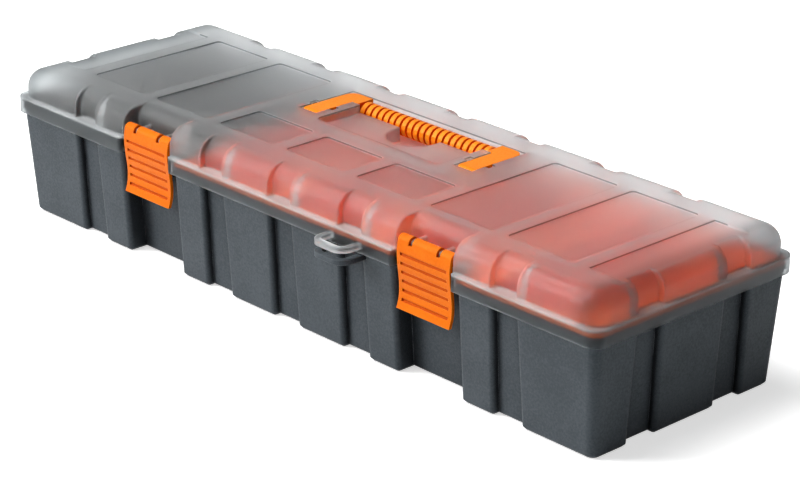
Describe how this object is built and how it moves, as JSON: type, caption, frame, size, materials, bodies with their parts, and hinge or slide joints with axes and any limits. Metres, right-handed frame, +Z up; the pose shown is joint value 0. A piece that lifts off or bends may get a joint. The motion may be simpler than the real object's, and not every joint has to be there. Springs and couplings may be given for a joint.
{
  "type": "saw blade storage case",
  "caption": "Long closed storage case with a ribbed base, a see-through domed lid on pinned knuckle hinges, a lift-out parts tray, snap latches and a carrying handle that folds into the lid.",
  "frame": {"origin": "middle of the base's footprint, on the ground face", "axes": "+X along the case to the right as seen from the latches, -Y to the latch side, +Z up"},
  "size_m": [0.6654, 0.2445, 0.127],
  "materials": {
    "base_plastic": "fine matt moulded texture",
    "lid_plastic": "frosted, see-through, smooth",
    "tray_plastic": "smooth moulded",
    "handle_plastic": "smooth moulded",
    "latch_plastic": "smooth moulded",
    "pin_steel": "drawn wire"
  },
  "bodies": {
    "base": {"base_shell": "base_plastic", "tray": "tray_plastic", "hinge_pins": "pin_steel"},
    "lid": {"lid_shell": "lid_plastic", "latch_pin_left": "pin_steel", "latch_pin_right": "pin_steel"},
    "latch_left": {"latch_left": "latch_plastic"},
    "latch_right": {"latch_right": "latch_plastic"},
    "handle": {"handle": "handle_plastic"}
  },
  "joints": [
    {"name": "lid_hinge", "type": "hinge", "parent": "base", "child": "lid", "pos_m": [0, 0.1123, 0.0896], "axis": [-1, 0, 0], "range_deg": [0, 105]},
    {"name": "latch_left_hinge", "type": "hinge", "parent": "lid", "child": "latch_left", "pos_m": [-0.16, -0.0985, 0.1103], "axis": [-1, 0, 0], "range_deg": [0, 105]},
    {"name": "latch_right_hinge", "type": "hinge", "parent": "lid", "child": "latch_right", "pos_m": [0.16, -0.0985, 0.1103], "axis": [-1, 0, 0], "range_deg": [0, 105]},
    {"name": "handle_hinge", "type": "hinge", "parent": "lid", "child": "handle", "pos_m": [0, 0.012, 0.121], "axis": [1, 0, 0], "range_deg": [0, 95]}
  ]
}
